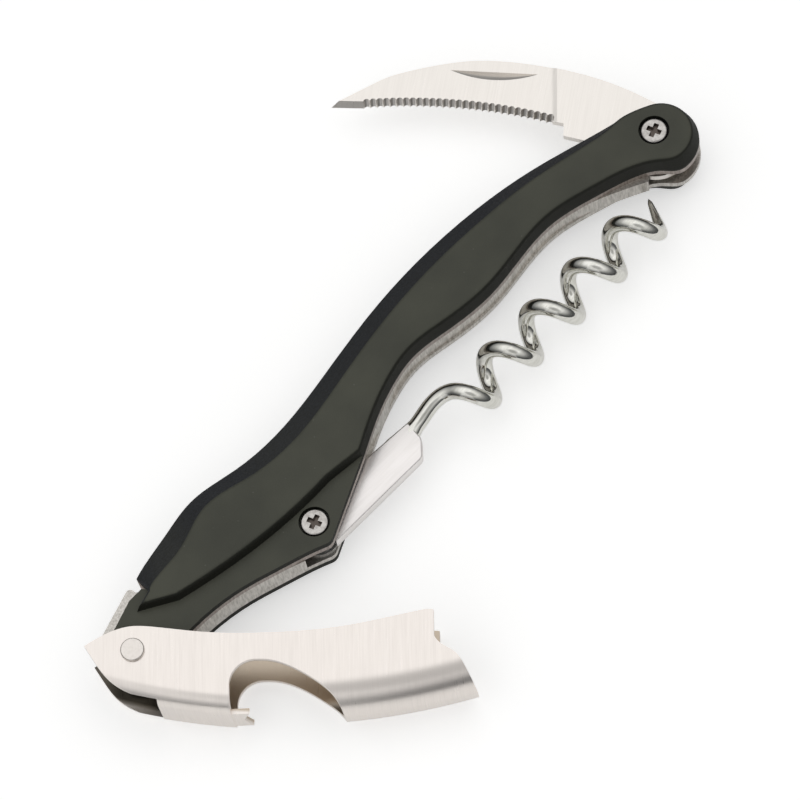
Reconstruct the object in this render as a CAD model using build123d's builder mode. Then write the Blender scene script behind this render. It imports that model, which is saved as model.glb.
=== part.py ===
"""Folding lever corkscrew: a two-sided handle with a foil blade, a worm and a bottle lever.

The handle lies flat on its rear scale. X runs along the handle from the lever rivet to the
blade screw, Y points to the back of the handle, and Z is up, along every pivot.
The origin is on the rear face, in the middle of the grip.
"""

import os
from math import cos, pi, radians, sin, sqrt

from build123d import *

os.makedirs("parts", exist_ok=True)

# Pivots, measured from the lever rivet
pivot_span = 106.8
worm_pivot_x = 31.1
worm_pivot_y = -5.1
grip_center_x = 58.0
grip_center_y = 6.5

# Stack through the handle
gap_width = 3.2
liner_thickness = 1.1
scale_flat = 1.3
scale_rise = 1.9
edge_wall = 0.4
top_round = 0.6

# Handle outline
end_radius = 5.5
end_center_x = 0.4
end_center_y = -0.9
end_from = 62.0
end_to = -95.0
end_bevel = 0.9
front_belly_bevel = 0.3
rear_belly_bevel = 1.3
rear_inset = 0.3
step_bevel = 0.5
plate_overlap = 2.0
tail_radius = 3.6
boss_round = 1.6
spring_recess = 0.3
spring_proud = 1.8
spring_land = 1.3
pin_diameter = 2.0

# Fasteners
barrel_diameter = 3.6
screw_shank = 2.2
head_diameter = 4.0
blade_head_height = 1.2
worm_head_height = 0.85
head_sink = 0.1
recess_width = 0.75
recess_length = 2.2
recess_depth = 0.7
rivet_shank = 2.4
rivet_head = 3.4
rivet_head_height = 0.45
rivet_round = 0.2

# Running clearances
pin_clearance = 0.05
press_clearance = 0.02
side_clearance = 0.05
lever_clearance = 0.25
head_ring = 0.25
step_clearance = 0.6
step_widening = 0.08
spring_clearance = 0.35

# Blade
blade_thickness = 1.2
blade_angle = 123.8
blade_length = 48.5
blade_height = 10.4
tang_radius = 5.0
washer_radius = 4.2
ricasso_length = 13.6
plain_tip = 4.9
tooth_pitch = 0.97
tooth_depth = 0.3
groove_radius = 0.6
groove_reach = 1.3
shoulder_station = 14.6
shoulder_ramp = 1.0
grind_depth = 0.22
nick_depth = 0.65
nick_width = 1.65
facet_land = 0.05
facet_reach = 0.9
back_pieces = 12

# Worm
wire_diameter = 2.4
coil_radius = 2.75
coil_pitch = 8.75
coil_start = 26.6
coil_drop = 1.9
lead_turn = 60.0
sweep_turns = 4.736
point_length = 3.6
point_radius = 0.2
tang_thickness = 2.2
tang_length = 19.9
tang_width = 5.6
tang_drop = 3.5
ear_radius = 3.5
worm_washer_radius = 3.2

# Lever
sheet = 1.0
bend_radius = 2.6
foot_bend_radius = 4.8
bend_change = 22.0
lever_depth = 9.95
lever_belly_radius = 96.0
lever_belly_station = 24.4
lever_rest_angle = -45.0
lever_closed_angle = -13.5
web_start = 3.3
hook_station = 13.6
hook_reach = 2.6
hook_notch = 1.1
lifter_end = 29.6
foot_station = 42.4
foot_reach = 48.3

# Heights of the layers, from the rear face up
scale_thickness = scale_flat + scale_rise
rear_liner_z = scale_thickness
gap_z = rear_liner_z + liner_thickness
mid_z = gap_z + gap_width / 2
front_liner_z = gap_z + gap_width
front_scale_z = front_liner_z + liner_thickness
flat_z = front_scale_z + scale_flat
top_z = front_scale_z + scale_thickness

# Lever widths
flat_stack = gap_width + 2 * liner_thickness + 2 * scale_flat
lever_inner = flat_stack + 2 * lever_clearance
lever_outer = lever_inner + 2 * sheet

# Places of the pivots
lever_x = -grip_center_x
lever_y = -grip_center_y
worm_x = lever_x + worm_pivot_x
worm_y = lever_y + worm_pivot_y
blade_x = lever_x + pivot_span
blade_y = lever_y
span = pivot_span


def handle_plane(z):
    """The handle's drawing plane at a height, with its origin on the lever rivet."""
    return Plane(origin=(lever_x, lever_y, z))


def turned_plane(x, y, z, angle):
    """A drawing plane on a pivot, with its X direction turned about Z."""
    x_dir = (cos(radians(angle)), sin(radians(angle)), 0)
    return Plane(origin=(x, y, z), x_dir=x_dir, z_dir=(0, 0, 1))


def on_end(angle, inset=0.0):
    """A point on the round end of the handle, at an angle about its centre."""
    x = span + end_center_x + (end_radius - inset) * cos(radians(angle))
    y = end_center_y + (end_radius - inset) * sin(radians(angle))
    return (x, y)


def along_end(angle):
    """The direction of travel on the round end, clockwise."""
    return (sin(radians(angle)), -cos(radians(angle)))


# Corners shared by the outlines of the scales, liners and spring
belly_end = (42.8, -3.2)
boss_corner = (worm_pivot_x - 0.6, worm_pivot_y - 3.9)
tail_shoulder = (-tail_radius * cos(radians(20)), tail_radius * sin(radians(20)))
tail_back = (-1.6, 3.8)
tail_ridge = (5.0, 6.0)
tail_notch = (7.4, 6.0)

# The back, with how far the raised grip's side leans in at each point
back_points = [
    (8.1, 7.9),
    (15.0, 9.4),
    (21.6, 10.4),
    (29.3, 9.1),
    (38.5, 8.6),
    (0.464 * span, 10.1),
    (0.562 * span, 11.65),
    (0.655 * span, 12.2),
    (0.749 * span, 11.7),
    (0.869 * span, 9.4),
    (0.9625 * span, 6.5),
]
back_bevel = [3.4, 4.0, 3.1, 3.3, 3.6, 3.4, 3.3, 3.2, 3.0, 2.4, 1.5]
raised_heel = back_points[0]

belly_points = [
    (0.971 * span, -4.1),
    (0.939 * span, -1.9),
    (0.888 * span, 0.0),
    (0.812 * span, 1.9),
    (0.749 * span, 1.5),
    (0.691 * span, 0.8),
    (0.609 * span, 1.6),
    (0.548 * span, 2.4),
    (0.499 * span, 1.4),
    belly_end,
]

# The blunt end of the raised grip, at its foot and on its top face
raised_end = [(4.2, 4.1), (7.9, 5.2)]
raised_end_top = [(5.4, 3.8), (7.5, 4.35)]

under_points = [
    boss_corner,
    (23.0, -6.2),
    (16.7, -4.3),
    (10.0, -3.4),
    (0.0, -tail_radius),
]

# Upper edge of the lever's cheek, along and across the lever from its rivet
cheek_tip = (-6.9, 0.9)
cheek_top = [
    (-4.2, 2.4),
    (-0.6, 3.5),
    (3.0, 3.3),
    (9.5, 2.3),
    (17.0, 1.8),
    (25.0, 1.85),
    (31.1, 2.4),
    (36.4, 3.3),
    (foot_station - 0.9, 4.2),
]


def closed_edge(point):
    """Where a point of the cheek's upper edge lies when the lever is shut, with its clearance."""
    turn = radians(lever_closed_angle)
    u = point[0]
    v = point[1] + step_clearance + step_widening * (u - cheek_top[3][0])
    return (u * cos(turn) - v * sin(turn), u * sin(turn) + v * cos(turn))


step_points = [closed_edge(point) for point in reversed(cheek_top[3:-1])]


def between(low, high, share):
    """A point part of the way from one to the other."""
    return (low[0] + (high[0] - low[0]) * share, low[1] + (high[1] - low[1]) * share)


def draw_grip(share=0.0, belly_bevel=0.0, inset=0.0):
    """The back, the round end and the belly, from the foot of the raised grip to its top face."""
    lean = inset + share * end_bevel
    back = [(x, y - share * bevel) for (x, y), bevel in zip(back_points, back_bevel)]
    belly = [(x, y + inset + share * belly_bevel) for x, y in belly_points]
    start, end = on_end(end_from, lean), on_end(end_to, lean)
    Spline(*back, start, tangents=[(1.0, 0.35), along_end(end_from)])
    ThreePointArc(start, on_end((end_from + end_to) / 2, lean), end)
    Spline(end, *belly, tangents=[along_end(end_to), (-1.0, -0.52)])


def draw_raised(share, belly_bevel, inset):
    """The whole outline of the raised grip, from its foot to its top face."""
    draw_grip(share, belly_bevel, inset)
    step = [(x, y + share * step_bevel) for x, y in step_points]
    toe, notch = [between(low, high, share) for low, high in zip(raised_end, raised_end_top)]
    Line((belly_end[0], belly_end[1] + inset + share * belly_bevel), step[0])
    Spline(*step)
    Polyline(step[-1], toe, notch, (raised_heel[0], raised_heel[1] - share * back_bevel[0]))


def draw_tail():
    """The worm boss and the tail, from the belly round to the raised grip."""
    Line(belly_end, boss_corner)
    Spline(*under_points, tangents=[(-1.0, 0.5), (-1.0, 0.0)])
    ThreePointArc((0, -tail_radius), (-tail_radius, 0), tail_shoulder)
    Polyline(tail_shoulder, tail_back, tail_ridge, tail_notch)


def draw_body():
    """The whole outline of a liner: grip, worm boss and tail."""
    draw_grip()
    draw_tail()
    Line(tail_notch, raised_heel)


blade_hole = (span, 0)
worm_hole = (worm_pivot_x, worm_pivot_y)
pin_places = [(12.0, 1.6), (23.0, 2.2)]
bearing_radius = barrel_diameter / 2 + pin_clearance
rivet_hole_radius = rivet_shank / 2 + pin_clearance
pin_hole_radius = pin_diameter / 2 + press_clearance
ring_radius = head_diameter / 2 + head_ring
blade_seat = blade_head_height + head_sink
worm_seat = worm_head_height + head_sink


def make_scale(belly_bevel, inset):
    """A scale: a flat plate at the tail and the raised grip, whose sides lean in to its top face."""
    plate_inside = [(x, y + plate_overlap) for x, y in step_points]
    with BuildPart() as scale:
        with BuildSketch(handle_plane(front_scale_z)) as plate_outline:
            with BuildLine():
                draw_tail()
                Line(tail_notch, plate_inside[-1])
                Spline(*plate_inside)
                Line(plate_inside[0], belly_end)
            make_face()
            fillet(plate_outline.vertices().sort_by_distance(boss_corner)[0], boss_round)
        extrude(amount=scale_flat)
        with BuildSketch(handle_plane(front_scale_z)):
            with BuildLine():
                draw_raised(0, belly_bevel, inset)
            make_face()
        extrude(amount=edge_wall)
        for z, share in [(front_scale_z + edge_wall, 0), (top_z, 1)]:
            with BuildSketch(handle_plane(z)):
                with BuildLine():
                    draw_raised(share, belly_bevel, inset)
                make_face()
        loft(ruled=True)
        fillet(scale.faces().sort_by(Axis.Z)[-1].outer_wire().edges(), top_round)
        with BuildSketch(handle_plane(front_scale_z)):
            with Locations(blade_hole, worm_hole):
                Circle(bearing_radius)
            Circle(rivet_hole_radius)
        extrude(amount=scale_thickness, mode=Mode.SUBTRACT)
        for hole, depth in [(blade_hole, blade_seat), (worm_hole, scale_rise + worm_seat)]:
            with BuildSketch(handle_plane(top_z)):
                with Locations(hole):
                    Circle(ring_radius)
            extrude(amount=-depth, mode=Mode.SUBTRACT)
    return scale.part


def export_piece(piece, name):
    """Labels a finished piece and writes it."""
    piece.label = name
    export_step(piece, f"parts/{name}.step")


# Scales: the front one stands square at the belly, the rear one leans in under the hand
export_piece(make_scale(front_belly_bevel, 0), "front_scale")

with BuildPart() as rear_scale:
    mirror(make_scale(rear_belly_bevel, rear_inset), about=Plane.XY.offset(mid_z))
export_piece(rear_scale.part, "rear_scale")

# Liners: two steel plates that carry the pivots
with BuildPart() as front_liner:
    with BuildSketch(handle_plane(front_liner_z)) as liner_outline:
        with BuildLine():
            draw_body()
        make_face()
        fillet(liner_outline.vertices().sort_by_distance(boss_corner)[0], boss_round)
        with Locations(blade_hole, worm_hole):
            Circle(bearing_radius, mode=Mode.SUBTRACT)
        Circle(rivet_hole_radius, mode=Mode.SUBTRACT)
        with Locations(*pin_places):
            Circle(pin_hole_radius, mode=Mode.SUBTRACT)
    extrude(amount=liner_thickness)
export_piece(front_liner.part, "front_liner")

with BuildPart() as rear_liner:
    mirror(front_liner.part, about=Plane.XY.offset(mid_z))
export_piece(rear_liner.part, "rear_liner")

# Spring: a stamped plate that fills the tail and runs along the belly to the blade's tang
spring_tip_radius = tang_radius + spring_clearance


def by_tang(angle):
    """A point of the spring's end, where it lies round the blade's tang."""
    return (span + spring_tip_radius * cos(radians(angle)), spring_tip_radius * sin(radians(angle)))


spring_end = (0.951 * span, -3.5)
leaf_low = [spring_end, (0.9036 * span, -0.9)]
leaf_low += [(x, y + spring_recess) for x, y in belly_points[3:-1]]
leaf_start = (0.468 * span, 0.2)
leaf_top = [
    (0.47 * span, 3.6),
    (0.56 * span, 4.6),
    (0.66 * span, 3.6),
    (0.75 * span, 3.7),
    (0.82 * span, 3.3),
    (0.875 * span, 1.2),
    (0.9036 * span, 0.2),
    by_tang(199),
]
ear_gap = ear_radius + spring_clearance
ear_top = (worm_pivot_x + 1.6, worm_pivot_y + ear_gap)
ear_side = (worm_pivot_x - ear_gap, worm_pivot_y + 0.5)
ear_middle = (worm_pivot_x - ear_gap * cos(radians(50)), worm_pivot_y + ear_gap * sin(radians(50)))
plate_corner = (worm_pivot_x - ear_gap - 0.8, worm_pivot_y - 2.4)
hump_end = (6.8, 7.1)
hump_round = 0.7
tail_proud = (tail_back[0] - 0.6, tail_back[1] + spring_proud)
heel_proud = (hump_end[0], hump_end[1] + spring_land)

with BuildPart() as spring:
    with BuildSketch(handle_plane(gap_z)) as spring_outline:
        with BuildLine():
            Polyline(tail_shoulder, tail_proud, heel_proud, hump_end)
            Spline(hump_end, (11.0, 5.0), (20.0, 5.6), (31.0, 5.2), (40.0, 3.8), leaf_top[0])
            Spline(*leaf_top)
            ThreePointArc(by_tang(199), by_tang(206), by_tang(212))
            Line(by_tang(212), spring_end)
            Spline(*leaf_low)
            Spline(leaf_low[-1], leaf_start, (42.0, -1.9), ear_top)
            ThreePointArc(ear_top, ear_middle, ear_side)
            Line(ear_side, plate_corner)
            Spline(plate_corner, *under_points[1:], tangents=[(-1.0, 0.45), (-1.0, 0.0)])
            ThreePointArc((0, -tail_radius), (-tail_radius, 0), tail_shoulder)
        make_face()
        fillet(spring_outline.vertices().sort_by_distance(heel_proud)[0], hump_round)
        Circle(rivet_hole_radius, mode=Mode.SUBTRACT)
        with Locations(*pin_places):
            Circle(pin_hole_radius, mode=Mode.SUBTRACT)
    extrude(amount=gap_width)
export_piece(spring.part, "spring")

# Two pins that hold the spring between the liners
pin_length = gap_width + 2 * liner_thickness
for name, (x, y) in zip(["tail_pin", "spring_pin"], pin_places):
    with BuildPart() as pin:
        with BuildSketch(handle_plane(rear_liner_z)):
            with Locations((x, y)):
                Circle(pin_diameter / 2)
        extrude(amount=pin_length)
    export_piece(pin.part, name)


def make_screw(x, y, seat_z, head_height, barrel_top):
    """A pan-head screw with a cross recess, with its shank down inside the barrel nut."""
    with BuildPart() as screw:
        with BuildSketch(Plane.XY.offset(seat_z)):
            with Locations((x, y)):
                Circle(head_diameter / 2)
        extrude(amount=head_height)
        fillet(screw.faces().sort_by(Axis.Z)[-1].edges(), head_height / 3)
        with BuildSketch(Plane.XY.offset(seat_z)):
            with Locations((x, y)):
                Circle(screw_shank / 2)
        extrude(amount=-(barrel_top - mid_z) - gap_width / 2)
        with BuildSketch(Plane.XY.offset(seat_z + head_height)):
            with Locations(Location((x, y), 20)):
                Rectangle(recess_length, recess_width)
                Rectangle(recess_width, recess_length)
        extrude(amount=-recess_depth, mode=Mode.SUBTRACT)
    return screw.part


def make_nut(x, y, seat_z, head_height, barrel_top):
    """A barrel nut: a plain head at the rear and the hollow barrel that the piece turns on."""
    with BuildPart() as nut:
        with BuildSketch(Plane.XY.offset(seat_z)):
            with Locations((x, y)):
                Circle(head_diameter / 2)
        extrude(amount=-head_height)
        fillet(nut.faces().sort_by(Axis.Z)[0].edges(), head_height / 3)
        with BuildSketch(Plane.XY.offset(seat_z)):
            with Locations((x, y)):
                Circle(barrel_diameter / 2)
        extrude(amount=barrel_top - seat_z)
        with BuildSketch(Plane.XY.offset(barrel_top)):
            with Locations((x, y)):
                Circle(screw_shank / 2 + pin_clearance)
        extrude(amount=-(barrel_top - seat_z), mode=Mode.SUBTRACT)
    return nut.part


def make_washer(x, y, z, radius, thickness):
    """A plain ring on a pivot's barrel."""
    with BuildPart() as washer:
        with BuildSketch(Plane.XY.offset(z)):
            with Locations((x, y)):
                Circle(radius)
                Circle(bearing_radius, mode=Mode.SUBTRACT)
        extrude(amount=thickness)
    return washer.part


blade_seat_z = top_z - blade_seat
worm_seat_z = flat_z - worm_seat
pivots = [
    ("blade", blade_x, blade_y, blade_seat_z, blade_head_height, blade_thickness, washer_radius),
    ("worm", worm_x, worm_y, worm_seat_z, worm_head_height, tang_thickness, worm_washer_radius),
]
for name, x, y, seat_z, head_height, thickness, radius in pivots:
    barrel_top = seat_z - side_clearance
    washer_thickness = (gap_width - thickness) / 2 - side_clearance
    front_washer_z = front_liner_z - washer_thickness
    export_piece(make_screw(x, y, seat_z, head_height, barrel_top), f"{name}_screw")
    export_piece(make_nut(x, y, 2 * mid_z - seat_z, head_height, barrel_top), f"{name}_nut")
    export_piece(make_washer(x, y, front_washer_z, radius, washer_thickness), f"{name}_washer_front")
    export_piece(make_washer(x, y, gap_z, radius, washer_thickness), f"{name}_washer_rear")

# Blade: a crescent with a serrated edge and a nail nick. Its back is on the -Y side of its plane.
edge_start = (ricasso_length + 2.0, -1.75)
edge_middle = (0.608 * blade_length, -2.3)
edge_end = (blade_length - plain_tip, -0.45)
blade_tip = (blade_length, 0.1)
blade_back = [
    (0.025 * blade_length, -6.7),
    (0.171 * blade_length, -0.865 * blade_height),
    (0.33 * blade_length, -0.981 * blade_height),
    (0.485 * blade_length, -blade_height),
    (0.619 * blade_length, -0.923 * blade_height),
    (0.808 * blade_length, -0.615 * blade_height),
    blade_tip,
]
ricasso = [(ricasso_length + 0.3, -1.6), (ricasso_length, 0.35), (ricasso_length - 3.3, 0.7)]
kick = (tang_radius * cos(radians(24)), tang_radius * sin(radians(24)))
tang_side = (-tang_radius * cos(radians(11)), tang_radius * sin(radians(11)))
heel = (-tang_radius * cos(radians(46)), -tang_radius * sin(radians(46)))
nick_start = Vector(0.367 * blade_length, -0.855 * blade_height)
nick_end = Vector(0.681 * blade_length, -0.736 * blade_height)
blade_front_z = mid_z + blade_thickness / 2
blade_rear_z = mid_z - blade_thickness / 2


def blade_plane(z):
    """The blade's drawing plane at a height, with its origin on the pivot."""
    return turned_plane(blade_x, blade_y, z, blade_angle)


def on_blade(point, z_dir, x_dir=None):
    """A plane at a point of the blade's front face, with directions along and across the blade."""
    front = blade_plane(blade_front_z)
    origin = front.from_local_coords(point)
    z_dir = front.from_local_coords(z_dir) - front.origin
    if x_dir is not None:
        x_dir = front.from_local_coords(x_dir) - front.origin
    return Plane(origin=origin, x_dir=x_dir, z_dir=z_dir)


with BuildLine() as edge_line:
    ThreePointArc(edge_start, edge_middle, edge_end)
edge_curve = edge_line.edges()[0]
tooth_count = round(edge_curve.length / tooth_pitch)
groove_run = groove_reach - tooth_depth
down = Vector(0, 0, -1)

nick_along = (nick_end - nick_start).normalized()
nick_across = Vector(-nick_along.Y, nick_along.X, 0)
nick_slope = (nick_across * nick_width - down * nick_depth).normalized()
nick_lift = (nick_across * -nick_depth - down * nick_width).normalized()
nick_half = (nick_end - nick_start).length / 2
nick_radius = (nick_half**2 + nick_depth**2) / (2 * nick_depth)
nick_center = (nick_start + nick_end) / 2 + down * nick_depth + nick_lift * nick_radius

tip_along = (Vector(*blade_tip) - Vector(*edge_end)).normalized()
tip_inward = Vector(tip_along.Y, -tip_along.X, 0)

with BuildPart() as blade:
    with BuildSketch(blade_plane(blade_rear_z)):
        with BuildLine():
            back = Spline(heel, *blade_back, tangents=[(0.55, -0.83), (0.8, 0.6)], mode=Mode.PRIVATE)
            for piece in range(back_pieces):
                add(back.trim(piece / back_pieces, (piece + 1) / back_pieces))
            Line(blade_tip, edge_end)
            ThreePointArc(edge_end, edge_middle, edge_start)
            Polyline(edge_start, *ricasso, kick)
            ThreePointArc(kick, tang_side, heel)
        make_face()
        Circle(bearing_radius, mode=Mode.SUBTRACT)
    extrude(amount=blade_thickness)
    with BuildSketch(on_blade((shoulder_station, 0, 0), Vector(-0.17, 1, 0), Vector(1, 0.17, 0))):
        with BuildLine():
            Spline((0, 0), (shoulder_ramp, grind_depth), tangents=[(1, 0.2), (1, 0)])
            Polyline(
                (shoulder_ramp, grind_depth),
                (blade_length, grind_depth),
                (blade_length, -1),
                (0, -1),
                (0, 0),
            )
        make_face()
    extrude(amount=2 * blade_height, both=True, mode=Mode.SUBTRACT)
    with BuildSketch(on_blade(nick_center, nick_slope)):
        Circle(nick_radius)
    extrude(amount=2 * nick_width, mode=Mode.SUBTRACT)
    with BuildSketch(on_blade(Vector(*edge_end), tip_along, tip_inward)):
        with BuildLine():
            Polyline(
                (facet_reach, 0),
                (facet_land, blade_thickness),
                (-1, blade_thickness),
                (-1, -1),
                (facet_reach, -1),
                close=True,
            )
        make_face()
    extrude(amount=2 * plain_tip, mode=Mode.SUBTRACT)
    for tooth in range(tooth_count):
        share = (tooth + 0.5) / tooth_count
        along = edge_curve % share
        inward = Vector(along.Y, -along.X, 0)
        groove_way = (inward * groove_run - down * blade_thickness).normalized()
        groove_out = (inward * -blade_thickness - down * groove_run).normalized()
        groove_axis = edge_curve @ share + inward * groove_reach + groove_out * groove_radius
        with BuildSketch(on_blade(groove_axis, groove_way)):
            Circle(groove_radius)
    extrude(amount=2 * groove_reach, both=True, mode=Mode.SUBTRACT)
export_piece(blade.part, "blade")

# Worm: a flat tang and a right-handed helix, drawn out of one wire
coil_y = worm_y - coil_drop
lead_start = Vector(worm_x + tang_length - 4.0, coil_y + 2.3, mid_z)
lead_middle = Vector(worm_x + tang_length + 3.3, coil_y + 2.9, mid_z + 0.5)
lead_middle_way = Vector(0.93, 0.1, 0.35).normalized()


def coil_point(turns):
    """A point on the middle line of the helix."""
    angle = 2 * pi * turns
    x = worm_x + coil_start + coil_pitch * turns
    return Vector(x, coil_y + coil_radius * cos(angle), mid_z + coil_radius * sin(angle))


def coil_way(turns):
    """The direction of the helix."""
    angle = 2 * pi * turns
    across = 2 * pi * coil_radius
    return Vector(coil_pitch, -across * sin(angle), across * cos(angle)).normalized()


def draw_biarc(start, start_way, end, end_way):
    """Two arcs that leave and arrive along the given directions."""
    chord = end - start
    ways = start_way + end_way
    spread = 2 * (1 - start_way.dot(end_way))
    reach = (sqrt(chord.dot(ways) ** 2 + spread * chord.dot(chord)) - chord.dot(ways)) / spread
    first = start + start_way * reach
    last = end - end_way * reach
    joint = (first + last) / 2
    TangentArc(start, joint, tangent=start_way)
    TangentArc(joint, end, tangent=(last - first).normalized())


lead_turns = lead_turn / 360
quarter_count = int((sweep_turns - lead_turns) * 4)
stations = [lead_turns + quarter / 4 for quarter in range(quarter_count + 1)]
stations.append(sweep_turns)

with BuildLine() as wire_path:
    draw_biarc(lead_start, Vector(1, 0, 0), lead_middle, lead_middle_way)
    draw_biarc(lead_middle, lead_middle_way, coil_point(lead_turns), coil_way(lead_turns))
    for begin, end in zip(stations, stations[1:]):
        draw_biarc(coil_point(begin), coil_way(begin), coil_point(end), coil_way(end))

samples = [coil_point(lead_turns + step / 40) for step in range(int((sweep_turns - lead_turns) * 40))]
gaps = [
    (one - other).length - wire_diameter
    for index, one in enumerate(samples)
    for other in samples[index + 20:]
]
print(f"least gap of the worm to itself {min(gaps):.2f} mm")

with BuildPart() as worm:
    with BuildSketch(Plane(origin=wire_path.line @ 0, z_dir=wire_path.line % 0)):
        Circle(wire_diameter / 2)
    sweep(path=wire_path.line)
    wire_end = Plane(origin=coil_point(sweep_turns), z_dir=coil_way(sweep_turns))
    with BuildSketch(wire_end):
        Circle(wire_diameter / 2)
    with BuildSketch(wire_end.offset(point_length)):
        Circle(point_radius)
    loft()
    with BuildSketch(Plane.XY.offset(mid_z - tang_thickness / 2)):
        with Locations((worm_x, worm_y)):
            Circle(ear_radius)
        with BuildLine():
            Polyline(
                (worm_x, worm_y - tang_drop),
                (worm_x + tang_length - 2.0, worm_y - tang_drop - 0.1),
                (worm_x + tang_length, worm_y - tang_drop + 2.0),
                (worm_x + tang_length + 0.4, worm_y - tang_drop + tang_width - 0.4),
                (worm_x + tang_length - 8.0, worm_y - tang_drop + tang_width + 0.2),
                (worm_x + 1.0, worm_y + ear_radius - 0.15),
                close=True,
            )
        make_face()
        with Locations((worm_x, worm_y)):
            Circle(bearing_radius, mode=Mode.SUBTRACT)
    extrude(amount=tang_thickness)
export_piece(worm.part, "worm")


def lever_plane(z=mid_z):
    """The lever's drawing plane at rest, with its origin on the rivet."""
    return turned_plane(lever_x, lever_y, z, lever_rest_angle)


def make_trough(inset, bend, from_u, to_u):
    """A block whose underside is the lever's bowed web, rounded along both long edges."""
    radius = lever_belly_radius - inset
    width = lever_outer - 2 * inset
    half_chord = 36.0
    center_v = lever_belly_radius - lever_depth
    low = (lever_belly_station, center_v - radius)
    end_v = center_v - sqrt(radius**2 - half_chord**2)
    left = (lever_belly_station - half_chord, end_v)
    right = (lever_belly_station + half_chord, end_v)
    top_v = 9.0
    with BuildPart() as trough:
        with BuildSketch(lever_plane(mid_z - width / 2)):
            with BuildLine():
                ThreePointArc(left, low, right)
                Polyline(right, (right[0], top_v), (left[0], top_v), left)
            make_face()
        extrude(amount=width)
        fillet(trough.edges().filter_by(GeomType.CIRCLE), bend - inset)
        with BuildSketch(lever_plane(mid_z - width / 2)):
            with BuildLine():
                Polyline((from_u, -20), (to_u, -20), (to_u, 20), (from_u, 20), close=True)
            make_face()
        extrude(amount=width, mode=Mode.INTERSECT)
    return trough.part


# Lever: one bent sheet with two cheeks, a bowed web, a cap lifter and a stepped foot
below = -lever_depth - 3.0
foot_step = 0.3
cheek_low = [(web_start, -8.4), (1.6, -7.1), (-1.0, -5.8), (-3.5, -4.0), (-5.4, -1.5), cheek_tip]
foot_curve = [
    (foot_station, foot_step),
    (foot_station + 1.0, foot_step - 1.3),
    (foot_station + 2.8, foot_step - 2.5),
    (foot_station + 4.2, foot_step - 4.5),
    (foot_reach, foot_step - 7.6),
]
tooth_width = (lever_outer - 2 * bend_radius) / 2
web_v = lever_belly_radius - lever_depth - sqrt(
    lever_belly_radius**2 - (lever_belly_station - hook_station) ** 2
)

with BuildPart() as lever:
    for bend, from_u, to_u in [(bend_radius, -20, bend_change), (foot_bend_radius, bend_change, 60)]:
        add(make_trough(0, bend, from_u, to_u))
    for bend, from_u, to_u in [(bend_radius, -20, bend_change), (foot_bend_radius, bend_change, 60)]:
        add(make_trough(sheet, bend, from_u, to_u), mode=Mode.SUBTRACT)
    with BuildSketch(lever_plane(mid_z - lever_outer / 2)):
        with BuildLine():
            Spline(cheek_tip, *cheek_top)
            Polyline(cheek_top[-1], (foot_station, 4.1), foot_curve[0])
            Spline(*foot_curve)
            Polyline(foot_curve[-1], (foot_reach, below), (web_start, below), cheek_low[0])
            Spline(*cheek_low)
        make_face()
    extrude(amount=lever_outer, mode=Mode.INTERSECT)
    with BuildSketch(lever_plane(mid_z - lever_inner / 2)):
        with BuildLine():
            Polyline((web_start, below), (web_start, 0), (-12, 0), (-12, below), close=True)
        make_face()
    extrude(amount=lever_inner, mode=Mode.SUBTRACT)
    with BuildSketch(lever_plane(mid_z - lever_outer / 2)):
        with BuildLine():
            Line((hook_station, below), (hook_station, -5.4))
            ThreePointArc((hook_station, -5.4), (hook_station + 1.15, -3.05), (hook_station + 4.0, -2.1))
            Spline(
                (hook_station + 4.0, -2.1),
                (hook_station + 8.0, -3.0),
                (hook_station + 12.7, -5.9),
                (lifter_end, -10.2),
                tangents=[(1, 0), (0.35, -1)],
            )
            Polyline((lifter_end, -10.2), (lifter_end, below), (hook_station, below))
        make_face()
    extrude(amount=lever_outer, mode=Mode.SUBTRACT)
    web_plane = Plane(
        origin=lever_plane().from_local_coords((0, web_v + sheet * 0.1, 0)),
        x_dir=lever_plane().x_dir,
        z_dir=lever_plane().y_dir,
    )
    with BuildSketch(web_plane):
        with BuildLine():
            Polyline(
                (hook_station - 0.6, -tooth_width),
                (hook_station + hook_reach, -tooth_width),
                (hook_station + hook_reach - hook_notch, 0),
                (hook_station + hook_reach, tooth_width),
                (hook_station - 0.6, tooth_width),
                close=True,
            )
        make_face()
    extrude(amount=sheet * 0.8)
    with BuildSketch(lever_plane(mid_z - lever_outer / 2)):
        Circle(rivet_hole_radius)
    extrude(amount=lever_outer, mode=Mode.SUBTRACT)
export_piece(lever.part, "lever")

# Rivet through the lever and the tail
rivet_length = lever_outer + 2 * side_clearance
with BuildPart() as lever_rivet:
    with BuildSketch(handle_plane(mid_z - rivet_length / 2)):
        Circle(rivet_shank / 2)
    extrude(amount=rivet_length)
    with BuildSketch(handle_plane(mid_z + rivet_length / 2)):
        Circle(rivet_head / 2)
    extrude(amount=rivet_head_height)
    with BuildSketch(handle_plane(mid_z - rivet_length / 2)):
        Circle(rivet_head / 2)
    extrude(amount=-rivet_head_height)
    outer_faces = lever_rivet.faces().sort_by(Axis.Z)
    fillet(outer_faces[0].edges() + outer_faces[-1].edges(), rivet_round)
export_piece(lever_rivet.part, "lever_rivet")
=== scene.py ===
"""Looks of the folding lever corkscrew: finishes for the solids, a smooth worm, floor, light and camera."""
from math import cos, pi, radians, sin

import bmesh
import bpy
from mathutils import Matrix, Vector
from mathutils.geometry import interpolate_bezier


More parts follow.
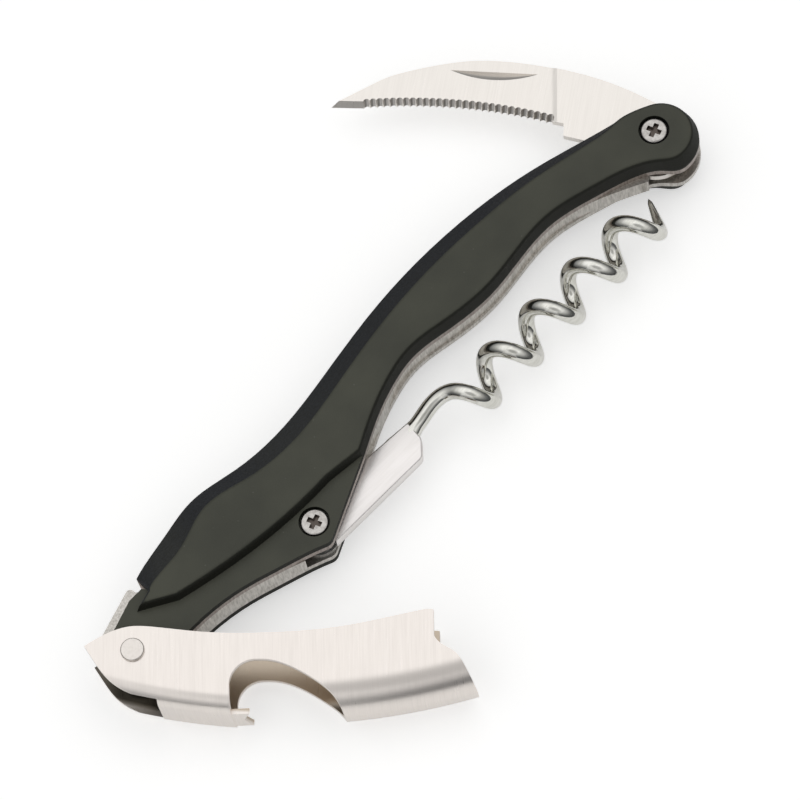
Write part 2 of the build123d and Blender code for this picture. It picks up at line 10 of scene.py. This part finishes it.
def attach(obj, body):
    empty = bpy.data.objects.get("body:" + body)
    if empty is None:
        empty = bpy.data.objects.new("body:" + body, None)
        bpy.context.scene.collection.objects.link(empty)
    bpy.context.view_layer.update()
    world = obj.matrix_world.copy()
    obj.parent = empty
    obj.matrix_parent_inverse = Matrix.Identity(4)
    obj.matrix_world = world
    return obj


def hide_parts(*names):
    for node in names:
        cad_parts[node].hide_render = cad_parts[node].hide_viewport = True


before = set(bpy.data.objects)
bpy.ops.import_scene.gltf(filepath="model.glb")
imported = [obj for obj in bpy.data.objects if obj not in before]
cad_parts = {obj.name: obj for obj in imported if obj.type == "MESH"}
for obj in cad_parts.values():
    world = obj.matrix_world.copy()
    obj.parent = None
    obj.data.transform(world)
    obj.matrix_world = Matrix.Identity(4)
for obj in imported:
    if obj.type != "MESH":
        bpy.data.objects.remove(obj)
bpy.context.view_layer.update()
MM = 0.001


def colour(code):
    """A linear RGBA colour from an sRGB hex value."""
    parts = [int(code[place:place + 2], 16) / 255 for place in (1, 3, 5)]
    return [part / 12.92 if part <= 0.04045 else ((part + 0.055) / 1.055) ** 2.4 for part in parts] + [1]


def add(tree, kind, inputs, **settings):
    """Adds a node, with its settings, its values and its links."""
    made = tree.nodes.new(kind)
    for name, value in settings.items():
        setattr(made, name, value)
    for name, value in inputs.items():
        if isinstance(value, bpy.types.NodeSocket):
            tree.links.new(value, made.inputs[name])
        else:
            made.inputs[name].default_value = value
    return made


def new_finish(name):
    """An empty material with its surface shader and its object coordinates."""
    finish = bpy.data.materials.new(name)
    finish.use_nodes = True
    tree = finish.node_tree
    lie = add(tree, "ShaderNodeTexCoord", {}).outputs
    return finish, tree, tree.nodes["Principled BSDF"], lie


def ramp_stops(ramp, stops):
    """Sets the colours along a ramp."""
    while len(ramp.color_ramp.elements) < len(stops):
        ramp.color_ramp.elements.new(0.5)
    for element, (position, code) in zip(ramp.color_ramp.elements, stops):
        element.position = position
        element.color = colour(code)


def black_abs_painted_sheen_shade():
    """Moulded ABS: a painted grey sheen on the flat top, dark matt sides in painted shade (darkest and bluish
    where they face +Y), fine grain and a few pale specks of dust.

    The grain is drawn coarser than a mould's own, so that it shows.
    """
    grain_size, cloud_size, speck_spacing = 0.3 * MM, 9 * MM, 2.6 * MM
    grain_depth = 0.06 * MM
    finish, tree, surface, lie = new_finish("black_abs_painted_sheen_shade")
    place = lie["Object"]
    grain_place = add(tree, "ShaderNodeMapping", {"Vector": place, "Scale": [grain_size] * 3},
                      vector_type="TEXTURE")
    grain = add(tree, "ShaderNodeTexNoise", {"Vector": grain_place.outputs[0], "Scale": 1, "Detail": 3})
    cloud_place = add(tree, "ShaderNodeMapping", {"Vector": place, "Scale": [cloud_size] * 3},
                      vector_type="TEXTURE")
    cloud = add(tree, "ShaderNodeTexNoise", {"Vector": cloud_place.outputs[0], "Scale": 1, "Detail": 4})
    # Painted sheen: the grey tone of the flat top stands in for the light's sheen on the black plastic
    tone = add(tree, "ShaderNodeValToRGB", {"Fac": cloud.outputs["Fac"]})
    ramp_stops(tone, [(0.3, "#47483f"), (0.7, "#525348")])
    speck_place = add(tree, "ShaderNodeMapping", {"Vector": place, "Scale": [speck_spacing] * 3},
                      vector_type="TEXTURE")
    speck = add(tree, "ShaderNodeTexVoronoi", {"Vector": speck_place.outputs[0], "Scale": 1})
    dust = add(tree, "ShaderNodeMapRange",
               {"Value": speck.outputs["Distance"], "From Min": 0.02, "From Max": 0.06, "To Min": 0.3,
                "To Max": 0})
    top = add(tree, "ShaderNodeMix", {"Factor": dust.outputs[0], "A": tone.outputs[0], "B": colour("#77776f")},
              data_type="RGBA")
    # Painted shade: the sides get darker colours than the top, darkest and bluish where they face +Y
    rear = add(tree, "ShaderNodeValToRGB", {"Fac": grain.outputs["Fac"]})
    ramp_stops(rear, [(0.35, "#111317"), (0.65, "#202329")])
    tilt = add(tree, "ShaderNodeSeparateXYZ", {0: lie["Normal"]})
    facing = add(tree, "ShaderNodeMapRange", {"Value": tilt.outputs["Y"], "From Min": -0.35, "From Max": 0.1})
    painted_shade_sides = add(tree, "ShaderNodeMix",
               {"Factor": facing.outputs[0], "A": colour("#24251f"), "B": rear.outputs[0]}, data_type="RGBA")
    # The flat top takes the painted sheen, the steeper faces take the painted shade
    level = add(tree, "ShaderNodeMath", {0: tilt.outputs["Z"]}, operation="ABSOLUTE")
    flat = add(tree, "ShaderNodeMapRange", {"Value": level.outputs[0], "From Min": 0.72, "From Max": 0.995},
               interpolation_type="SMOOTHSTEP")
    base = add(tree, "ShaderNodeMix",
               {"Factor": flat.outputs[0], "A": painted_shade_sides.outputs["Result"], "B": top.outputs["Result"]},
               data_type="RGBA")
    matt = add(tree, "ShaderNodeMapRange", {"Value": flat.outputs[0], "To Min": 0.68, "To Max": 0.44})
    bump = add(tree, "ShaderNodeBump", {"Height": grain.outputs["Fac"], "Strength": 0.6, "Distance": grain_depth})
    surface.inputs["Specular IOR Level"].default_value = 0.25
    tree.links.new(base.outputs["Result"], surface.inputs["Base Color"])
    tree.links.new(matt.outputs[0], surface.inputs["Roughness"])
    tree.links.new(bump.outputs[0], surface.inputs["Normal"])
    return finish


def streaked_steel(name, dark, pale, streak, turn, rough, depth):
    """Steel, ground one way: fine streaks in two tones along the grind, with a satin gloss.

    A streak's three sizes and the depth are in mm. The streaks are drawn wider than real ones, so that they show.
    """
    finish, tree, surface, lie = new_finish(name)
    grind = add(tree, "ShaderNodeMapping",
                {"Vector": lie["Object"], "Rotation": (0, 0, radians(turn)),
                 "Scale": [size * MM for size in streak]},
                vector_type="TEXTURE")
    line = add(tree, "ShaderNodeTexNoise",
               {"Vector": grind.outputs[0], "Scale": 1, "Detail": 4, "Roughness": 0.65})
    tone = add(tree, "ShaderNodeValToRGB", {"Fac": line.outputs["Fac"]})
    ramp_stops(tone, [(0.3, dark), (0.62, pale)])
    spread = 0.03
    gloss = add(tree, "ShaderNodeMapRange",
                {"Value": line.outputs["Fac"], "From Min": 0.3, "From Max": 0.7, "To Min": rough + spread,
                 "To Max": rough - spread})
    bump = add(tree, "ShaderNodeBump", {"Height": line.outputs["Fac"], "Strength": 0.3, "Distance": depth * MM})
    surface.inputs["Metallic"].default_value = 1
    tree.links.new(tone.outputs[0], surface.inputs["Base Color"])
    tree.links.new(gloss.outputs[0], surface.inputs["Roughness"])
    tree.links.new(bump.outputs[0], surface.inputs["Normal"])
    return finish


def shade(finish, painted_shade_mask, code):
    """Tints a finish where a mask is 1."""
    tree = finish.node_tree
    base = tree.nodes["Principled BSDF"].inputs["Base Color"]
    mixed = add(tree, "ShaderNodeMix", {"Factor": painted_shade_mask, "A": base.links[0].from_socket, "B": colour(code)},
                data_type="RGBA")
    tree.links.new(mixed.outputs["Result"], base)


def shade_inside(finish):
    """Painted shade on the lever's inner faces, where the inside of the channel lies in shade: a sandy grey.

    The depth below the lever's outer skin, in mm, tells the inner faces from the outer ones. The skin is a bowed
    web between two flat cheeks, with a round bend along each side. The end by the rivet is painted darker still,
    as deeper shade.
    """
    deep_from, deep_to = -13, -19
    tree = finish.node_tree
    place = add(tree, "ShaderNodeTexCoord", {}).outputs["Object"]
    bow = add(tree, "ShaderNodeMapping",
              {"Vector": place, "Location": bow_centre, "Rotation": (0, 0, radians(lever_angle)),
               "Scale": [MM] * 3},
              vector_type="TEXTURE")
    axes = add(tree, "ShaderNodeSeparateXYZ", {0: bow.outputs[0]})
    plan = add(tree, "ShaderNodeVectorMath", {0: bow.outputs[0], 1: (1, 1, 0)}, operation="MULTIPLY")
    reach = add(tree, "ShaderNodeVectorMath", {0: plan.outputs[0]}, operation="LENGTH")
    aside = add(tree, "ShaderNodeMath", {0: axes.outputs["Z"]}, operation="ABSOLUTE")
    bend = add(tree, "ShaderNodeMapRange",
               {"Value": axes.outputs["X"], "From Min": bend_change - 0.01, "From Max": bend_change + 0.01,
                "To Min": bend_radius, "To Max": foot_bend_radius})
    past = []
    for distance, face in ((aside.outputs[0], lever_half_width), (reach.outputs["Value"], belly_radius)):
        past_face = add(tree, "ShaderNodeMath", {0: distance, 1: face}, operation="SUBTRACT")
        past_bend = add(tree, "ShaderNodeMath", {0: past_face.outputs[0], 1: bend.outputs[0]})
        past.append(add(tree, "ShaderNodeMath", {0: past_bend.outputs[0], 1: 0}, operation="MAXIMUM").outputs[0])
    corner = add(tree, "ShaderNodeCombineXYZ", {0: past[0], 1: past[1]})
    round_off = add(tree, "ShaderNodeVectorMath", {0: corner.outputs[0]}, operation="LENGTH")
    depth = add(tree, "ShaderNodeMath", {0: bend.outputs[0], 1: round_off.outputs["Value"]}, operation="SUBTRACT")
    painted_shade_mask = add(tree, "ShaderNodeMapRange",
               {"Value": depth.outputs[0], "From Min": 0.5 * sheet_thickness, "From Max": 0.9 * sheet_thickness})
    # Painted shade: a sandy grey on the inner faces of the channel
    shade(finish, painted_shade_mask.outputs[0], "#c3b5a4")
    # Painted shade: darker still towards the rivet end
    deep = add(tree, "ShaderNodeMapRange",
               {"Value": axes.outputs["X"], "From Min": deep_from, "From Max": deep_to, "To Max": 0.85})
    rivet_end_shade = add(tree, "ShaderNodeMath", {0: painted_shade_mask.outputs[0], 1: deep.outputs[0]}, operation="MULTIPLY")
    shade(finish, rivet_end_shade.outputs[0], "#2e302c")


def nickel_screw(name):
    """Nickel-plated screw: bright, with a faint haze from tumbling and painted shade in the recess."""
    finish = streaked_steel(name + "_nickel", "#a5a19d", "#c9c6c2", (0.5, 0.5, 0.5), 0, 0.26, 0.01)
    recess_reach = 1.35 * MM
    recess_lip, recess_floor = -0.15 * MM, -0.4 * MM
    tree = finish.node_tree
    box = [Vector(corner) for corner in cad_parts[name].bound_box]
    head = (box[0] + box[6]) / 2
    head.z = box[6].z
    place = add(tree, "ShaderNodeTexCoord", {}).outputs["Object"]
    below = add(tree, "ShaderNodeVectorMath", {0: place, 1: head}, operation="SUBTRACT")
    axes = add(tree, "ShaderNodeSeparateXYZ", {0: below.outputs[0]})
    plan = add(tree, "ShaderNodeVectorMath", {0: below.outputs[0], 1: (1, 1, 0)}, operation="MULTIPLY")
    reach = add(tree, "ShaderNodeVectorMath", {0: plan.outputs[0]}, operation="LENGTH")
    near = add(tree, "ShaderNodeMath", {0: reach.outputs["Value"], 1: recess_reach}, operation="LESS_THAN")
    sunk = add(tree, "ShaderNodeMapRange",
               {"Value": axes.outputs["Z"], "From Min": recess_lip, "From Max": recess_floor})
    painted_shade_mask = add(tree, "ShaderNodeMath", {0: near.outputs[0], 1: sunk.outputs[0]}, operation="MULTIPLY")
    # Painted shade: the recess is coloured dark grey
    shade(finish, painted_shade_mask.outputs[0], "#5a534e")
    return finish


# The lever's skin at rest, in mm, along and across the lever from the middle of its bow
lever_angle = -45.0
lever_pivot = Vector((-58, -6.5, 5.9))
lever_half_width = 5.25
belly_radius = 96
bend_radius, foot_bend_radius = 2.6, 4.8
bend_change = -2.4
sheet_thickness = 1.0
bow_centre = (lever_pivot + Matrix.Rotation(radians(lever_angle), 3, "Z") @ Vector((24.4, 86.05, 0))) * MM
blade_angle = 123.8

grip = black_abs_painted_sheen_shade()
# Sheared plate: pale grey, and on the front liner a darker brownish tone that is painted shade; its cut edge torn
# in short lines across the plate
painted_shade_liner_steel = streaked_steel("sheared_steel_painted_shade", "#7d736d", "#a69c95", (0.3, 0.3, 2.0), 0, 0.36, 0.02)
pale_edge = streaked_steel("sheared_pale_steel", "#a8a49d", "#d6d2cc", (0.3, 0.3, 2.0), 0, 0.33, 0.02)
# Turned pin: mid grey, with faint rings left by the tool
pin = streaked_steel("turned_pin_steel", "#a5a29c", "#cfccc6", (1.2, 1.2, 0.15), 0, 0.3, 0.01)
# Blade stock: finely ground across, near white, with a soft gloss
ground_blade = streaked_steel("ground_blade_steel", "#ece7e1", "#f1ece6", (0.16, 9.0, 9.0), blade_angle, 0.3,
                              0.002)
# Plated barrel nuts and washers: an even bright grey, with a slight haze
nut = streaked_steel("nickel_plated_steel", "#cbc9c4", "#e8e6e2", (0.5, 0.5, 0.5), 0, 0.2, 0.008)
washer = streaked_steel("zinc_plated_steel", "#aeb0b0", "#cfd0cf", (0.5, 0.5, 0.5), 0, 0.3, 0.008)
# Polished wire: almost a mirror, with faint drawing lines
wire = streaked_steel("polished_wire_steel", "#d3d2ca", "#e6e5df", (6.0, 0.5, 0.5), 0, 0.12, 0.003)
# Tang: the wire pressed flat and barrelled, a white satin
pressed_tang = streaked_steel("pressed_tang_steel", "#f1edea", "#f6f2f0", (5.0, 0.3, 0.3), 0, 0.36, 0.002)
# Lever sheet: linished across its length, so the streaks wrap round the bend
linished_sheet = streaked_steel("linished_sheet_steel", "#ece5df", "#f2ebe5", (0.22, 7.0, 7.0), lever_angle, 0.3,
                                0.004)
# Paints shade on the lever's inner faces, darkest towards the rivet
shade_inside(linished_sheet)
# Rivet: headed cold and left as struck, a touch greyer than the sheet
headed_rivet = streaked_steel("headed_rivet_steel", "#e0dad4", "#e9e3dd", (0.4, 0.4, 0.4), 0, 0.3, 0.002)

node_finish = {
    "front_scale": grip,
    "rear_scale": grip,
    "front_liner": painted_shade_liner_steel,
    "rear_liner": pale_edge,
    "spring": pale_edge,
    "tail_pin": pin,
    "spring_pin": pin,
    "blade": ground_blade,
    "blade_screw": nickel_screw("blade_screw"),
    "blade_nut": nut,
    "blade_washer_front": washer,
    "blade_washer_rear": washer,
    "worm": wire,
    "worm_screw": nickel_screw("worm_screw"),
    "worm_nut": nut,
    "worm_washer_front": washer,
    "worm_washer_rear": washer,
    "lever": linished_sheet,
    "lever_rivet": headed_rivet,
}
for name, finish in node_finish.items():
    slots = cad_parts[name].data.materials
    slots.clear()
    slots.append(finish)


# Worm: the helix is one ring of wire screwed along the axis. The ring's last copy is drawn out to the point, and
# its first is pulled back into the tang and pressed flat on the way
worm_pivot = Vector((-26.9, -11.6, 5.9)) * MM
coil_axis = worm_pivot + Vector((26.6, -1.9, 0)) * MM
coil_radius = 2.75 * MM
coil_pitch = 8.75 * MM
wire_radius = 1.2 * MM
first_turn, last_turn = 60 / 360, 4.42
coil_steps = 300
point_turn = 4.736
point_length = 3.8 * MM
point_steps = 10
point_thinning, point_end, point_rounding = 0.75, 0.06, 3
lead_bend = worm_pivot + Vector((23.2, 1.0, 0.5)) * MM
lead_bend_way = Vector((0.93, 0.1, 0.35)).normalized()
lead_root = worm_pivot + Vector((15.9, 0.4, 0.0)) * MM
lead_reach = 2.0 * MM
flat_from, flat_steps = 13, 6
flat_widening, flat_thinning = 0.6, 0.14
tang_outline = [(0.5, -3.45), (17.9, -3.6), (19.9, -1.5), (20.3, 1.7), (11.9, 2.3), (1.0, 3.35)]
tang_half = 1.1 * MM
tang_corner, tang_rim = 0.4 * MM, 0.22 * MM
same_height = 1e-7


def coil_spot(turns):
    """A point on the middle line of the helix."""
    angle = 2 * pi * turns
    return coil_axis + Vector((coil_pitch * turns, coil_radius * cos(angle), coil_radius * sin(angle)))


def coil_way(turns):
    """The direction of the helix."""
    angle = 2 * pi * turns
    across = 2 * pi * coil_radius
    return Vector((coil_pitch, -across * sin(angle), across * cos(angle))).normalized()


def pull_ring(shape, ring, spots, ways, sizes):
    """Draws a ring of edges out along a route, with its size changing on the way."""
    for step in range(1, len(spots)):
        made = bmesh.ops.extrude_edge_only(shape, edges=ring)["geom"]
        ring = [piece for piece in made if isinstance(piece, bmesh.types.BMEdge)]
        verts = [piece for piece in made if isinstance(piece, bmesh.types.BMVert)]
        turn = ways[step - 1].rotation_difference(ways[step]).to_matrix()
        bmesh.ops.translate(shape, verts=verts, vec=spots[step] - spots[step - 1])
        bmesh.ops.rotate(shape, verts=verts, cent=spots[step], matrix=turn)
        grow = [after / before for before, after in zip(sizes[step - 1], sizes[step])]
        bmesh.ops.scale(shape, verts=verts, vec=grow, space=Matrix.Translation(-spots[step]))
    return ring


def make_worm():
    """The wire helix with its point and lead, and the flat tang that turns on the barrel."""
    shape = bmesh.new()
    start, way = coil_spot(first_turn), coil_way(first_turn)
    facing = Matrix.Translation(start) @ way.to_track_quat("Z", "Y").to_matrix().to_4x4()
    circle = bmesh.ops.create_circle(shape, segments=28, radius=wire_radius, matrix=facing)["verts"]
    lead_ring = list({edge for vert in circle for edge in vert.link_edges})
    turns = last_turn - first_turn
    spun = bmesh.ops.spin(
        shape, geom=lead_ring, cent=coil_axis, axis=(1, 0, 0), angle=2 * pi * turns, steps=coil_steps,
        dvec=(coil_pitch * turns / coil_steps, 0, 0),
    )["geom_last"]
    point_ring = [piece for piece in spun if isinstance(piece, bmesh.types.BMEdge)]
    turned = [last_turn + (point_turn - last_turn) * step / point_steps for step in range(point_steps + 1)]
    spots = [coil_spot(turn) for turn in turned]
    ways = [coil_way(turn) for turn in turned]
    spots += [spots[-1] + ways[-1] * point_length * step / point_steps for step in range(1, point_steps + 1)]
    ways += [ways[-1]] * point_steps
    shares = [step / (2 * point_steps) for step in range(2 * point_steps + 1)]
    sizes = [[min(1 - point_thinning * share, point_end + point_rounding * (1 - share))] * 3 for share in shares]
    bmesh.ops.contextual_create(shape, geom=pull_ring(shape, point_ring, spots, ways, sizes))

    bend_in, bend_out = lead_bend + lead_bend_way * lead_reach, lead_bend - lead_bend_way * lead_reach
    root_in = lead_root + Vector((1.6 * lead_reach, 0, 0))
    route = interpolate_bezier(start, start - way * lead_reach, bend_in, lead_bend, 10)
    route += interpolate_bezier(lead_bend, bend_out, root_in, lead_root, 12)[1:]
    ways = [way] + [(one - two).normalized() for one, two in zip(route, route[2:])] + [Vector((1, 0, 0))]
    flat = [max(0, min(1, (step - flat_from) / flat_steps)) for step in range(len(route))]
    sizes = [(1, 1 + flat_widening * share, 1 - flat_thinning * share) for share in flat]
    bmesh.ops.contextual_create(shape, geom=pull_ring(shape, lead_ring, route, ways, sizes))

    corners = [shape.verts.new(worm_pivot + Vector((x * MM, y * MM, -tang_half))) for x, y in tang_outline]
    tang = shape.faces.new(corners)
    tang.material_index = 1
    risen = bmesh.ops.extrude_face_region(shape, geom=[tang])["geom"]
    top = [piece for piece in risen if isinstance(piece, bmesh.types.BMVert)]
    bmesh.ops.translate(shape, verts=top, vec=(0, 0, 2 * tang_half))
    upright = [edge for vert in corners for edge in vert.link_edges if edge.other_vert(vert) in top]
    bmesh.ops.bevel(shape, geom=upright[1:5], offset=tang_corner, offset_type="OFFSET", affect="EDGES", segments=4,
                    profile=0.5, material=-1)
    rims = [edge for edge in shape.edges
            if edge.is_manifold and abs(edge.verts[0].co.z - edge.verts[1].co.z) < same_height
            and abs(abs(edge.verts[0].co.z - worm_pivot.z) - tang_half) < same_height
            and edge.calc_face_angle(0) > 1]
    bmesh.ops.bevel(shape, geom=rims, offset=tang_rim, offset_type="OFFSET", affect="EDGES", segments=3,
                    profile=0.5, material=-1)
    return shape


def add_piece(name, shape, finishes, smooth_angle):
    """Puts a finished shape in the scene, smooth up to an angle."""
    bmesh.ops.recalc_face_normals(shape, faces=shape.faces)
    mesh = bpy.data.meshes.new(name)
    shape.to_mesh(mesh)
    shape.free()
    mesh.polygons.foreach_set("use_smooth", [True] * len(mesh.polygons))
    mesh.set_sharp_from_angle(angle=radians(smooth_angle))
    for finish in finishes:
        mesh.materials.append(finish)
    piece = bpy.data.objects.new(name, mesh)
    bpy.context.scene.collection.objects.link(piece)
    return piece


worm = add_piece("worm_wire", make_worm(), [wire, pressed_tang], 40)
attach(worm, "worm")
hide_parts("worm")

# Floor: a pale sheet that reads white to the eye and in polished metal, and keeps the shadow
sheet_glow, sheet_in_metal = 0.5, 0.6
floor_half, floor_drop = 2, 0.0002
floor_finish, tree, surface = new_finish("white_studio_sheet")[:3]
tree.nodes.remove(surface)
path = add(tree, "ShaderNodeLightPath", {})
shown = add(tree, "ShaderNodeMath", {0: path.outputs["Is Glossy Ray"], 1: sheet_in_metal}, operation="MULTIPLY")
direct = add(tree, "ShaderNodeMath", {0: path.outputs["Is Camera Ray"], 1: shown.outputs[0]}, operation="MAXIMUM")
seen = add(tree, "ShaderNodeMath", {0: direct.outputs[0], 1: path.outputs["Is Transmission Ray"]},
           operation="MAXIMUM")
lift = add(tree, "ShaderNodeMath", {0: seen.outputs[0], 1: sheet_glow}, operation="MULTIPLY")
glow = add(tree, "ShaderNodeEmission", {"Color": (1, 1, 1, 1), "Strength": lift.outputs[0]})
paper = add(tree, "ShaderNodeBsdfDiffuse", {"Color": colour("#e9e9e8")})
both = add(tree, "ShaderNodeAddShader", {0: glow.outputs[0], 1: paper.outputs[0]})
tree.links.new(both.outputs[0], tree.nodes["Material Output"].inputs["Surface"])
sheet = bmesh.new()
bmesh.ops.create_grid(sheet, x_segments=1, y_segments=1, size=floor_half,
                      matrix=Matrix.Translation((0, 0, -floor_drop)))
floor = add_piece("floor", sheet, [floor_finish], 30)

# World: a dark horizon that rises to a pale ceiling, with a dark opening on the camera's side
world = bpy.data.worlds.new("studio")
bpy.context.scene.world = world
world.use_nodes = True
tree = world.node_tree
sky = add(tree, "ShaderNodeTexCoord", {}).outputs["Generated"]
up = add(tree, "ShaderNodeSeparateXYZ", {0: sky})
height = add(tree, "ShaderNodeValToRGB", {"Fac": up.outputs["Z"]})
ramp_stops(height, [(0.0, "#2c2e30"), (0.35, "#747576"), (0.6, "#bcbcbc"), (0.85, "#ffffff")])
toward = Vector((-0.20023, -0.32436, 0.92450)).normalized()
near = add(tree, "ShaderNodeVectorMath", {0: sky, 1: toward}, operation="DOT_PRODUCT")
opening = add(tree, "ShaderNodeMapRange",
              {"Value": near.outputs["Value"], "From Min": 0.9, "From Max": 0.985, "To Max": 0.55},
              interpolation_type="SMOOTHSTEP")
tent = add(tree, "ShaderNodeMix", {"Factor": opening.outputs[0], "A": height.outputs[0], "B": colour("#3c3c3b")},
           data_type="RGBA")
tree.links.new(tent.outputs["Result"], tree.nodes["Background"].inputs["Color"])

# Camera, at the photograph's angle
target = Vector((-4.664, -6.382, 6.0)) * MM
distance = 0.7
roll = radians(15.132)
level = Vector((0, 0, 1)).cross(toward).normalized()
upright = toward.cross(level) * cos(roll) + level * sin(roll)
right = upright.cross(toward)
lens = bpy.data.cameras.new("camera")
lens.lens = 219.87
lens.sensor_width = 36
lens.clip_start = 0.01
camera = bpy.data.objects.new("camera", lens)
turned_to = Matrix((right, upright, toward)).transposed().to_4x4()
camera.matrix_world = Matrix.Translation(target + toward * distance) @ turned_to
bpy.context.scene.collection.objects.link(camera)
bpy.context.scene.camera = camera


def add_light(name, way, reach, size, power):
    """A square soft light that faces the object. Reach and size are in metres, power in watts."""
    lamp = bpy.data.lights.new(name, "AREA")
    lamp.size = size
    lamp.energy = power
    stand = bpy.data.objects.new(name, lamp)
    way = Vector(way).normalized()
    aim = way.to_track_quat("Z", "Y").to_matrix().to_4x4()
    stand.matrix_world = Matrix.Translation(target + way * reach) @ aim
    bpy.context.scene.collection.objects.link(stand)


add_light("softbox", (0.2, 0.325, 0.925), 0.8, 0.7, 0.12)
add_light("fill", (-0.80, -0.42, 0.42), 1.0, 0.7, 0.45)

bpy.context.scene.view_settings.view_transform = "Standard"
